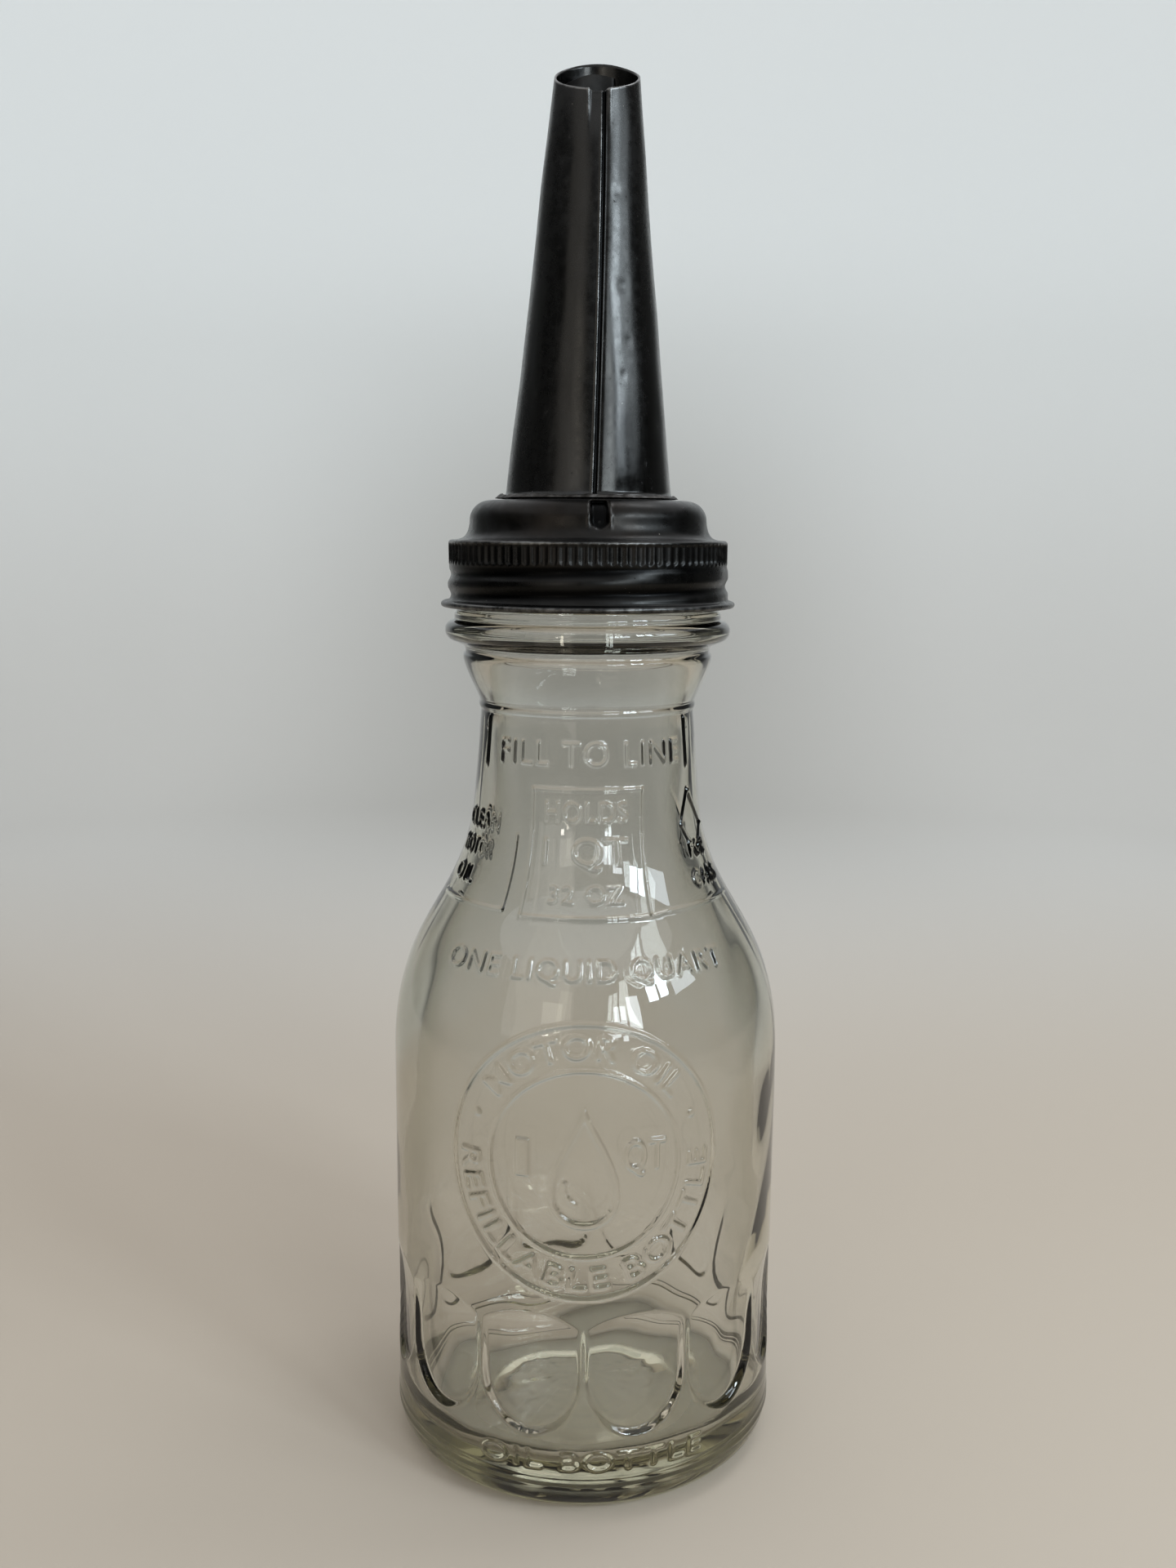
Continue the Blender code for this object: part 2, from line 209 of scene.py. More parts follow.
def pressed(stamp, x, y):
    # reads the stamp's height at places x, y in mm
    grid, low = stamp["grid"], stamp["low"]
    u = np.clip((x - low[0]) / stampCell, 0, grid.shape[1] - 1.001)
    v = np.clip((y - low[1]) / stampCell, 0, grid.shape[0] - 1.001)
    i, j = u.astype(int), v.astype(int)
    u, v = u - i, v - j
    rowA = grid[j, i] * (1 - u) + grid[j, i + 1] * u
    rowB = grid[j + 1, i] * (1 - u) + grid[j + 1, i + 1] * u
    return rowA * (1 - v) + rowB * v


def bead(distance, halfWidth):
    # a rounded raised line or dot, 0 to 1
    return np.clip(1 - (distance / halfWidth) ** 2, 0, 1) ** 0.7


def strokeDistance(x, y, start, end):
    ax, ay = start
    bx, by = end
    t = np.clip(((x - ax) * (bx - ax) + (y - ay) * (by - ay)) / ((bx - ax) ** 2 + (by - ay) ** 2), 0, 1)
    return np.hypot(x - ax - t * (bx - ax), y - ay - t * (by - ay))


bottle = {
    "radius": (glassHigh[0] - glassLow[0]) / 2 * perMetre,
    "lipTop": glassHigh[2] * perMetre,
    "heelRadius": 9.0,
    "bodyTop": 107.0,
    "wall": 5.0,
    "floor": 10.5,
    "restRing": 30.0,
    "pushUp": 2.6,
    "neckBase": (29.15, 174.5),
    "neckTop": (27.4, 197.0),
    "throat": 23.0,
    "beadCentre": (33.9, 217.2),
    "beadRadius": 2.7,
    "land": 34.2,
    "finish": 33.6,
    "mouth": 29.2,
    "seamRaised": 0.12,
    "seamHalf": 0.35,
    "footLines": [(11.4, 0.2, 0.5), (9.0, 0.22, 0.55)],    # height, how far raised, half width
    "columns": [(48, 0.42), (80, 0.7), (180, 1.7)],
    # up to each height, how far apart the points of the outer outline are
    "rows": [(8, 0.6), (24, 0.42), (57, 0.6), (129, 0.42), (133, 0.9), (143, 0.42), (149, 0.8),
             (181, 0.42), (184, 0.8), (196.5, 0.42), (200, 0.28), (210, 0.7), (240, 0.4)],
    "outerWaves": [(3, 190, 0.4, 0.05), (5, -83, 1.9, 0.035), (9, 47, 0.7, 0.02), (14, -31, 2.2, 0.012)],
    "innerWaves": [(2, 240, 0.3, 0.34), (3, -96, 1.2, 0.22), (5, 61, 2.6, 0.13), (8, -38, 0.9, 0.07),
                   (13, 150, 0.2, 0.05), (17, -27, 1.1, 0.03)],
}

thread = {
    "pitch": 5.08,
    "height": 226.0,       # of the cap's groove at the left
    "fade": 25.0,          # degrees over which each end runs out
    "groove": {"start": 100.0, "end": 660.0, "halfWide": 2.3, "depth": 0.8},
    "ridge": {"start": 140.0, "end": 520.0, "halfWide": 1.5, "depth": 1.35},
}

panels = {
    "count": 12,
    "top": 54.5,
    "deepest": 36.0,
    "depth": 1.85,
    "lessBelow": 0.5,
    "flatness": 0.42,      # 0 keeps the body's curve across a flat, 1 makes it a plane
    "middle": 38.0,
    "halfWide": 13.2,
    "halfTall": 16.2,
    "ledge": 0.12,
}

roundel = {
    "middle": 93.0,
    "outer": 34.2,
    "inner": 23.5,
    "lineHalf": 0.62,
    "letters": 29.0,       # radius of the two rows of letters
    "lettersTall": 5.8,
    "lettersHeavy": 0.012,
    "upper": ("MOTOR OIL", 54.0),
    "lower": ("REFILLABLE BOTTLE", 94.0),
    "dots": 68.0,          # degrees from the top to the dot between the rows
    "dotHalf": 1.2,
    "drop": (31.0, 19.0),
    "dropRaised": 1.35,
    "dropHollow": 1.1,
    "figures": [("1", 3.4, -15.0), ("QT", 10.5, 14.8)],     # width and place to the right
    "figuresTall": 9.5,
    "figuresHeavy": 0.02,
    "figuresRaised": 1.5,
    "raised": 0.55,
}

# each word: how tall and wide it is, the height and radius of the glass there, and degrees to the right
plainWords = {
    "OIL BOTTLE": (4.9, 58.0, 15.9, 50.8, 3.0),
    "ONE LIQUID QUART": (6.3, 75.0, 138.3, 43.4, 0.0),
    "FILL TO LINE": (6.1, 50.0, 188.5, 28.0, 2.5),
    "HOLDS": (5.0, 20.5, 174.4, 29.2, 0.0),
    "1 QT": (7.8, 21.0, 164.3, 30.4, 0.0),
    "32 OZ": (4.4, 17.5, 155.0, 32.8, 0.0),
    "CLEAN": (4.6, 15.5, 170.0, 29.4, -62.0),
    "MOTOR": (4.4, 15.5, 163.2, 30.6, -63.0),
    "OIL": (4.4, 9.5, 156.4, 32.4, -66.0),
    "FOR": (4.2, 8.5, 163.0, 30.6, 64.0),
    "CARS": (4.2, 12.5, 156.0, 32.4, 64.0),
}
wordsRaised = 0.6

# raised borders round the words: corners as degrees to the right and height
closedBorders = [
    [(-27.0, 179.8), (28.5, 179.8), (25.6, 149.8), (-25.6, 149.8)],
    [(60.5, 178.0), (52.5, 169.5), (62.0, 161.5), (74.0, 168.5)],
]
openBorders = [
    [(-34.5, 168.0), (-34.0, 150.4), (-78.0, 150.4)],
    [(25.5, 149.8), (34.0, 150.4), (78.0, 150.6)],
]
bordersRaised = 0.42

arrows = {"turn": 61.3, "middle": 190.3, "tall": 11.6, "glassRadius": 27.8, "lineHalf": 0.55, "raised": 0.55}


def threadBump(angle, height, level, shape):
    # how far, 0 to 1, a thread stands at each place; angle is from the front, azimuth from the right
    azimuth = (np.degrees(angle) + 270.0) % 360.0
    most = 0.0 * (azimuth + height)
    for lap in range(3):
        unrolled = azimuth + 360.0 * lap
        off = np.abs(height - (level + thread["pitch"] * (unrolled - 180.0) / 360.0))
        fade = np.clip(np.minimum(unrolled - shape["start"], shape["end"] - unrolled) / thread["fade"], 0, 1)
        hump = np.cos(0.5 * math.pi * np.minimum(off / shape["halfWide"], 1)) ** 2
        most = np.maximum(most, fade * hump)
    return most


def bottleOutside():
    b = bottle
    side = b["radius"] - b["heelRadius"]
    ring, neckBase, neckTop = b["restRing"], b["neckBase"], b["neckTop"]
    lean = (neckBase[0] - neckTop[0]) / (neckTop[1] - neckBase[1])
    beadX, beadZ = b["beadCentre"]
    parts = [
        [(0.6, b["pushUp"]), (ring - 8.0, b["pushUp"] - 0.2)],
        arcLine((ring - 7.5, b["pushUp"] - 2.2), 2.0, 90, 40, 6),
        [(ring - 1.2, 0.45), (ring - 0.3, 0.0), (ring + 1.0, 0.0)],
        arcLine((side, b["heelRadius"]), b["heelRadius"], 270, 360, 40),
        bentLine((b["radius"], b["bodyTop"]), (b["radius"], b["bodyTop"] + 35.5),
                 (neckBase[0] + lean * 29, neckBase[1] - 29), neckBase, 120),
        [neckTop],
        arcLine((neckTop[0] - 0.75, 198.2), 1.25, -40, 40, 10),
        bentLine((27.8, 199.8), (29.4, 203.5), (31.6, 207.5), (32.0, 210.2), 30),
        bentLine((31.9, 210.9), (31.2, 211.6), (31.2, 212.4), (32.0, 213.4), 12),
        arcLine((beadX, beadZ), b["beadRadius"], -78, 75, 30),
        arcLine((b["land"] + 0.35, 220.1), 0.35, 230, 180, 5),
        [(b["land"], 221.2)],
        [(b["finish"], 222.2), (b["finish"], b["lipTop"] - 1.5)],
        arcLine((b["finish"] - 1.5, b["lipTop"] - 1.5), 1.5, 0, 90, 12),
    ]

    def spacing(r, z):
        if z < 3.0 and r < side - 4:
            return 1.8
        return next(step for top, step in b["rows"] if z < top)
    return spacedLine(parts, spacing)


def bottleInside():
    b = bottle
    inner, corner = b["radius"] - b["wall"], 9.0
    parts = [
        arcLine((b["mouth"] + 1.5, b["lipTop"] - 1.5), 1.5, 90, 180, 8),
        [(b["mouth"], 218.5)],
        bentLine((b["mouth"], 217.5), (b["mouth"] - 0.3, 208.0), (b["throat"] + 0.9, 207.0),
                 (b["throat"] + 0.3, 194.0), 40),
        bentLine((24.4, 173.0), (26.6, 146.0), (inner, 138.0), (inner, 103.0), 80),
        arcLine((inner - corner, b["floor"] + corner), corner, 360, 270, 20),
        [(18.0, b["floor"] + 0.6), (0.6, b["floor"] + 1.2)],
    ]
    return spacedLine(parts, lambda r, z: 0.9 if z > 230 else 1.7)


def roundelRelief(x, y):
    # x to the right round the glass and y up, both from the middle of the roundel
    r = roundel
    out = np.hypot(x, y)
    turn = np.arctan2(x, y)       # 0 at the top, positive to the right
    height = bead(np.abs(out - r["outer"]), r["lineHalf"]) + bead(np.abs(out - r["inner"]), r["lineHalf"])
    words, wide = r["upper"]
    upper = letterStamp(words, r["lettersTall"], wide, 4, r["lettersHeavy"])
    height += pressed(upper, turn * r["letters"], out - r["letters"])
    words, wide = r["lower"]
    lower = letterStamp(words, r["lettersTall"], wide, 4, r["lettersHeavy"])
    below = np.arctan2(x, -y)
    height += pressed(lower, below * r["letters"], r["letters"] - out)
    spot = math.radians(r["dots"])
    for side in (-1, 1):
        away = np.hypot(x - side * r["letters"] * math.sin(spot), y - r["letters"] * math.cos(spot))
        height += bead(away, r["dotHalf"])
    drop, hollow = dropStamp(*r["drop"]), dropStamp(*r["drop"], 0.16)
    height += r["dropRaised"] * pressed(drop, x, y + 0.5) - r["dropHollow"] * pressed(hollow, x, y + 0.5)
    # a short curved stroke inside the drop, at its lower left
    glint = np.abs(np.hypot(x - 0.2, y + 5.4) - 5.0) + 8.0 * ((x > -1.6) | (y > -4.0))
    height += bead(glint, 0.7)
    for words, wide, place in r["figures"]:
        figure = letterStamp(words, r["figuresTall"], wide, 4, r["figuresHeavy"])
        height += r["figuresRaised"] * pressed(figure, x - place, y - 1.5)
    return height


def panelDepth(angle, height):
    # scooped flats round the foot: each runs out softly above, and ends on a ledge at the sides and below
    p = panels
    step = 2 * math.pi / p["count"]
    local = (angle % step - step / 2) * bottle["radius"]
    above = np.clip((height - p["deepest"]) / (p["top"] - p["deepest"]), 0, 2)
    below = np.clip((p["deepest"] - height) / (p["deepest"] - p["middle"] + p["halfTall"]), 0, 1)
    scoop = p["depth"] * (1 - above ** 2) - p["lessBelow"] * below ** 2
    scoop = scoop - p["flatness"] * local ** 2 / (2 * bottle["radius"])
    out = np.hypot(local / p["halfWide"], np.minimum(height - p["middle"], 0) / p["halfTall"])
    return np.clip(scoop, 0, 9) * smoothStep(1.0, 1.0 - p["ledge"], out)


def wordRelief(angle, along, alongAt):
    raised = np.zeros(angle.shape)
    for words, (tall, wide, level, glassRadius, turn) in plainWords.items():
        x = (angle - math.radians(turn)) * glassRadius
        raised += wordsRaised * pressed(letterStamp(words, tall, wide, 3), x, along - alongAt(level))
    return raised


def borderRelief(angle, radius, along, alongAt):
    raised = np.zeros(angle.shape)
    for corners in closedBorders + openBorders:
        spots = [(math.radians(turn), alongAt(level)) for turn, level in corners]
        if corners in closedBorders:
            spots.append(spots[0])
        for (turnA, alongA), (turnB, alongB) in zip(spots, spots[1:]):
            start, end = (turnA * radius, alongA), (turnB * radius, alongB)
            raised += bordersRaised * bead(strokeDistance(angle * radius, along, start, end), 0.5)
    return raised


def arrowRelief(angle, height):
    # slim upright pointers beside the fill line, each with a half barb at its tip
    a = arrows
    half = a["tall"] / 2
    raised = np.zeros(angle.shape)
    for side in (-1, 1):
        x = side * (angle - side * math.radians(a["turn"])) * a["glassRadius"]
        y = height - a["middle"]
        shaft = strokeDistance(x, y, (0, -half), (0, half))
        barb = strokeDistance(x, y, (0, half), (1.1, half - 2.6))
        raised += a["raised"] * np.maximum(bead(shaft, a["lineHalf"]), bead(barb, a["lineHalf"]))
    return raised


def glassRelief(angle, radius, height, along, alongAt):
    # everything that stands on or sinks into the outer face, in mm outwards
    front = np.abs(angle) < math.radians(88)
    body = (height > 5) & (height < 214)
    stamped = roundel["raised"] * roundelRelief(radius * angle, height - roundel["middle"])
    stamped += wordRelief(angle, along, alongAt)
    raised = np.where(front, stamped, 0) + arrowRelief(angle, height)
    raised += borderRelief(angle, radius, along, alongAt)
    raised -= panelDepth(angle, height)
    seam = np.abs(np.abs(angle) - math.pi / 2) * radius
    raised += bottle["seamRaised"] * bead(seam, bottle["seamHalf"]) * body
    for level, size, half in bottle["footLines"]:
        raised += size * bead(along - alongAt(level), half)
    return raised + ripple(angle, height, bottle["outerWaves"]) * body


def makeBottle():
    outside, along = bottleOutside()
    inside, _ = bottleInside()
    angle = turnsOf(bottle["columns"])[None, :]
    upright = (outside[:, 0] > bottle["radius"] - bottle["heelRadius"]) | (outside[:, 1] > 30)
    heights, places = outside[upright, 1], along[upright]

    def alongAt(level):
        # how far along the outline the outer face reaches this height
        return float(np.interp(level, heights, places))

    radius, height = outside[:, :1], outside[:, 1:]
    grid = angle + 0 * radius
    outerFace = (along > places[0])[:, None]
    relief = glassRelief(grid, radius, height, along[:, None], alongAt)
    raised = np.where(outerFace & (height < 214), relief, 0)
    onFinish = (np.abs(radius - bottle["finish"]) < 0.02) & (height > 223)
    ridge = threadBump(grid, height, thread["height"] + thread["pitch"] / 2, thread["ridge"])
    raised += np.where(onFinish, thread["ridge"]["depth"] * ridge, 0)
    # the fine rings on the underside, left by the mould's base plate
    under = (along < places[0])[:, None] & (radius < bottle["restRing"] - 3)
    raised += np.where(under, 0.12 * np.sin(radius * 2.1), 0)
    out = outwards(outside)
    outer = turnedPoints(radius + raised * out[:, :1], height + raised * out[:, 1:], angle)
    radius, height = inside[:, :1], inside[:, 1:]
    lift = 0.35 + 0.65 * smoothStep(190, 120, height) + 0.7 * smoothStep(105, 60, height)
    lift = lift * smoothStep(222, 205, height) * smoothStep(1, 20, radius)
    wave = ripple(angle, height, bottle["innerWaves"]) * lift
    out = outwards(inside)
    inner = turnedPoints(radius + wave * out[:, :1], height + wave * out[:, 1:], angle)
    rings = np.concatenate([outer, inner])
    # the ring that the bottle stands on is scuffed
    scuff = np.exp(-((outer[..., 2] + 0.2) / 0.8) ** 2) * (np.hypot(outer[..., 0], outer[..., 1]) > 26)
    scuff = np.concatenate([scuff, np.zeros(inner.shape[:2])])
    return ringMesh("bottle_glass", rings, poles=True, marks={"scuff": scuff})


glass = makeBottle()
print("glass bottle", len(glass.data.polygons), "faces")


cap = {
    "sheet": 0.5,
    "hole": 19.8,
    "domeTop": capHigh[2] * perMetre,
    "domeRadius": 30.0,
    "domeCorner": 5.0,
    "shoulder": 239.8,
    "band": 35.44,
    "bandBottom": 233.8,
    "skirt": 35.75,
    "flange": (capHigh[0] - capLow[0]) / 2 * perMetre,
    "flangeBottom": capLow[2] * perMetre,
    "ribs": 96,
    "ribDepth": 0.56,
    "columnsPerRib": 6,
    "waves": [(2, 400, 0.6, 0.05), (5, 60, 1.4, 0.03), (11, -24, 0.3, 0.02), (23, 9, 1.7, 0.008)],
}

pocket = {
    "turn": 5.3,
    "halfWide": 2.3,
    "top": 249.3,
    "bottom": 242.4,
    "depth": 2.2,
    "holeHeight": 244.2,
    "holeRadius": 0.45,
}


def capOutside():
    c = cap
    middle = (c["domeRadius"] - c["domeCorner"], c["domeTop"] - 0.3 - c["domeCorner"])
    parts = [
        [(c["hole"], c["domeTop"])],
        arcLine(middle, c["domeCorner"], 90, 0, 24),
        bentLine((30.1, 243.6), (30.5, 241.4), (31.2, 240.2), (33.2, 239.9), 20),
        [(34.4, c["shoulder"])],
        arcLine((c["band"] - 0.75, c["shoulder"] - 0.8), 0.75, 84, 0, 8),
        [(c["band"], c["bandBottom"] + 0.5)],
        bentLine((c["band"], c["bandBottom"]), (c["band"] - 0.25, 233.6), (c["skirt"] - 0.3, 233.0),
                 (c["skirt"] - 0.1, 232.2), 12),
        [(c["skirt"], 229.0), (c["skirt"], 225.6)],
        bentLine((c["skirt"], 225.3), (c["skirt"] + 0.1, 224.7), (36.4, 224.6), (36.8, 224.6), 10),
        arcLine((c["flange"] - 0.75, c["flangeBottom"] + 0.86), 0.75, 80, -90, 16),
        [(c["skirt"] + 0.1, c["flangeBottom"] + 0.1)],
    ]

    def spacing(r, z):
        if z > 246 and r < 25:
            return 0.6
        return 0.3 if 238.4 < z < 241 or z < 226 else 0.42
    return spacedLine(parts, spacing)


def capInside():
    c = cap
    inner = c["skirt"] - c["sheet"]
    middle = (c["domeRadius"] - c["domeCorner"], c["domeTop"] - 0.3 - c["domeCorner"])
    parts = [
        [(inner + 0.1, c["flangeBottom"] + 0.3), (inner, 223.7), (inner, 233.5)],
        [(c["band"] - c["sheet"] - 0.35, c["bandBottom"] + 0.4), (c["band"] - c["sheet"] - 0.35, 238.7)],
        [(34.2, c["shoulder"] - c["sheet"]), (32.2, c["shoulder"] - c["sheet"])],
        [(30.6, 240.6), (30.0, 242.4)],
        arcLine(middle, c["domeCorner"] - c["sheet"], 0, 90, 12),
        [(c["hole"], c["domeTop"] - c["sheet"])],
    ]
    return spacedLine(parts, lambda r, z: 0.6)


def pocketPush(angle, radius, height):
    # how far the vent pocket is pressed in and its rim stands proud, and a mark for its worn rim, a painted
    # glint where its vent hole is, and painted shade inside it
    p = pocket
    across = (angle - math.radians(p["turn"])) * radius
    below = np.clip((p["bottom"] + 2.0 - height) / 2.0, 0, 1)
    half = p["halfWide"] * np.sqrt(1 - below ** 2)      # the pocket's lower end is round
    side = half - np.abs(across)
    level = np.minimum(p["top"] - height, height - p["bottom"])
    into = smoothStep(-0.15, 0.75, side) * smoothStep(-0.2, 0.5, level)
    rim = np.exp(-((np.abs(across) - p["halfWide"] - 0.4) / 0.35) ** 2) * smoothStep(-0.6, 1.2, level)
    near = (radius < 31.5) & (height > 236)
    # painted glint: a bright spot where the vent hole is; no hole is cut
    hole = np.exp(-((across ** 2 + (height - p["holeHeight"]) ** 2) / p["holeRadius"] ** 2) ** 1.5)
    depth = p["depth"] * (0.45 + 0.55 * smoothStep(p["top"] - 6, p["top"], height))
    return np.where(near, 0.15 * rim - depth * into, 0), np.where(near, 0.7 * rim + hole - 1.6 * into, 0)


def makeCap():
    c = cap
    outside, _ = capOutside()
    inside, _ = capInside()
    count = c["ribs"] * c["columnsPerRib"]
    angle = (np.arange(count) * 2 * math.pi / count)[None, :]
    signed = (angle + math.pi) % (2 * math.pi) - math.pi
    faces, wearsAndShades = [], []
    for line, isOutside in ((outside, True), (inside, False)):
        radius, height = line[:, :1] + 0 * angle, line[:, 1:] + 0 * angle
        onSkirt = (height < c["bandBottom"] + 0.2) & (radius < c["skirt"] + 0.3)
        onSkirt &= radius > c["skirt"] - c["sheet"] - 0.3
        groove = threadBump(angle, height, thread["height"], thread["groove"])
        push = -thread["groove"]["depth"] * np.where(onSkirt, groove, 0) * smoothStep(223.2, 224.6, height)
        dent, pocketWearGlintAndShade = pocketPush(signed + 0 * height, radius, height)
        # the pocket's mark: its worn rim, a painted glint at the vent hole and painted shade inside
        wearAndShade = pocketWearGlintAndShade * 0.6 + ripple(angle, height, c["waves"]) * 2
        if isOutside:
            rib = np.abs(np.sin(angle * c["ribs"] / 2)) ** 0.85
            uneven = 1 + 0.2 * np.sin(angle * 7 + 0.4) + 0.15 * np.sin(angle * 31)
            start = c["bandBottom"] + 0.9 * (1 - rib ** 2)      # each flute ends round at the bottom
            onBand = smoothStep(start - 0.1, start + 0.7, height)
            onBand *= smoothStep(239.15, 238.45, height) * (radius > 34.6)
            push -= c["ribDepth"] * uneven * rib * onBand
            wearAndShade += 0.24 * onBand * (1 - rib) ** 2
            patchy = 0.55 + 0.45 * np.sin(angle * 3 - 0.4) * np.sin(angle * 5 + 0.7)
            wearAndShade += 1.1 * patchy * np.exp(-((height - 239.25) / 0.3) ** 2) * (radius > 34.7)
            wearAndShade += 0.5 * np.exp(-((radius - c["flange"]) / 0.35) ** 2)
            # painted shade: the thread's groove and the groove under the band are painted darker
            wearAndShade -= 0.9 * np.where(onSkirt, groove, 0)
            wearAndShade -= 0.6 * np.exp(-((height - 232.9) / 0.6) ** 2) * (radius > 34.6)
        push = push + dent + ripple(angle, height, c["waves"])
        faces.append(turnedPoints(radius + push, height, angle))
        wearsAndShades.append(wearAndShade + 0 * radius)
    rings = np.concatenate(faces)[::-1]
    wearAndShade = np.clip(np.concatenate(wearsAndShades)[::-1], -1, 1)
    return ringMesh("cap_tin", rings, closed=True, marks={"wearAndShade": wearAndShade})


capTin = makeCap()
print("cap", len(capTin.data.polygons), "faces")


cone = {
    "foot": coneLow[2] * perMetre,
    "footRadius": (coneHigh[0] - coneLow[0]) / 2 * perMetre,
    "base": 21.0,
    "mouth": 10.3,
    "mouthHeight": 351.0,
    "tilt": 28.0,
    "sheet": 0.5,
    "seamBase": 4.2,
    "seamTop": 10.4,
    "lean": 1.5,
    "seamDepth": 0.42,
    "columns": [(6, 0.3), (24, 0.7), (180, 1.6)],
    "waves": [(2, 130, 0.2, 0.14), (3, -62, 1.1, 0.09), (4, 33, 2.0, 0.04), (7, -19, 0.4, 0.015)],
    # small dents: degrees to the right, height, radius and depth
    "dents": [(27, 300, 1.3, 0.16), (31, 287, 1.0, 0.14), (26, 279, 0.9, 0.12), (24, 322, 1.2, 0.12),
              (-38, 331, 2.4, 0.12), (140, 295, 3.4, 0.25), (-118, 318, 3.0, 0.2), (64, 268, 3.2, 0.16),
              (205, 262, 2.6, 0.2)],
}


def coneRadius(height):
    share = (height - cone["foot"]) / (cone["mouthHeight"] - cone["foot"])
    return cone["base"] + (cone["mouth"] - cone["base"]) * share


def rimHeight(angle):
    # highest at the back, where angle is 180
    return cone["mouthHeight"] - cone["mouth"] * math.tan(math.radians(cone["tilt"])) * np.cos(angle)


def leaning(points):
    # the rolled cone was soldered on slightly out of plumb, over to the right at the top
    points = points.copy()
    points[..., 0] += cone["lean"] * (points[..., 2] - cone["foot"]) / (cone["mouthHeight"] - cone["foot"])
    return points


def coneSkin(share, fromSeam, inner):
    # share runs from 0 at the foot to 1 at the slanting rim
    seam = np.radians(cone["seamBase"] + (cone["seamTop"] - cone["seamBase"]) * share)
    angle = seam + fromSeam
    rim = rimHeight(angle)
    height = cone["foot"] + share * (rim - cone["foot"])
    radius = coneRadius(height)
    off = fromSeam * radius
    nearMouth = smoothStep(12.0, 0.5, rim - height)
    # the folded seam is a groove with a lip on its left; near the mouth it is pinched flat between two creases
    groove = -cone["seamDepth"] * np.exp(-(off / 0.4) ** 4)
    groove += 0.16 * np.exp(-((off + 0.75) / 0.3) ** 2) - 0.1 * np.exp(-((off - 0.8) / 0.45) ** 2)
    pinch = smoothStep(-4.0, -3.1, off) * smoothStep(1.0, 0.1, off)
    groove -= pinch * nearMouth * 0.5
    groove += 0.12 * nearMouth * np.exp(-((off - 1.4) / 0.45) ** 2)
    groove += 0.1 * nearMouth * np.exp(-((off + 4.1) / 0.4) ** 2)
    height = height - 0.5 * pinch * smoothStep(2.5, 0.0, rim - height)
    dents = ripple(angle, height, cone["waves"]) * smoothStep(0.0, 0.06, share)
    for turn, level, size, deep in cone["dents"]:
        aside = np.remainder(angle - math.radians(turn) + math.pi, 2 * math.pi) - math.pi
        dents = dents - deep * np.exp(-(np.hypot(aside * radius, height - level) / size) ** 2)
    footFlare = 0.15 * np.exp(-(height - cone["foot"]) / 0.8)
    skin = radius + groove + dents + footFlare - (cone["sheet"] if inner else 0.0)
    wearAndShade = 0.5 * np.exp(-((off + 0.7) / 0.25) ** 2) * (0.75 + 0.25 * np.sin(height / 3.1))
    wearAndShade += 0.8 * smoothStep(0.75, 0.1, rim - height)
    wearAndShade += 0.55 * nearMouth * (np.exp(-((off - 1.35) / 0.4) ** 2) + np.exp(-((off + 4.0) / 0.35) ** 2))
    wearAndShade += 0.3 * smoothStep(1.0, 0.2, height - cone["foot"])
    # painted shade: the seam's groove is painted dark
    seamShade = 1.2 * np.exp(-((off - 0.1) / 0.42) ** 4)
    return leaning(turnedPoints(skin, height, angle)), wearAndShade - seamShade


def makeCone():
    c = cone
    fromSeam = turnsOf(c["columns"])[None, :]
    length = c["mouthHeight"] - c["foot"]
    rows = np.concatenate([np.arange(0.55, length - 8, 1.0), np.arange(length - 8, length, 0.35), [length]])
    share = rows / length
    outer, outerWearAndShade = coneSkin(share[:, None], fromSeam, False)
    inner, innerWearAndShade = coneSkin(share[::-2, None], fromSeam, True)
    seam = math.radians(c["seamBase"])
    edge = c["footRadius"]
    footRadii = np.array([c["base"] - c["sheet"], edge - 0.2, edge, edge - 0.05])[:, None]
    level = c["foot"] + np.array([0.0, 0.0, 0.3, 0.52])[:, None]
    foot = turnedPoints(footRadii + 0 * fromSeam, level + 0 * fromSeam, seam + fromSeam)
    rings = np.concatenate([foot, outer, inner])
    wearAndShade = np.concatenate([0.2 + 0 * foot[..., 0], outerWearAndShade, innerWearAndShade * 0])
    return ringMesh("cone_tin", rings, closed=True, marks={"wearAndShade": np.clip(wearAndShade, -1, 1)})


coneTin = makeCone()
print("cone", len(coneTin.data.polygons), "faces")


duct = {
    "start": 152.0,
    "end": 258.0,
    "standOff": 2.0,
    "drop": 3.0,
    "sheet": 0.4,
    "clear": 0.4,
    "waves": [(6, 41, 0.4, 0.06), (11, -23, 1.0, 0.03)],
}


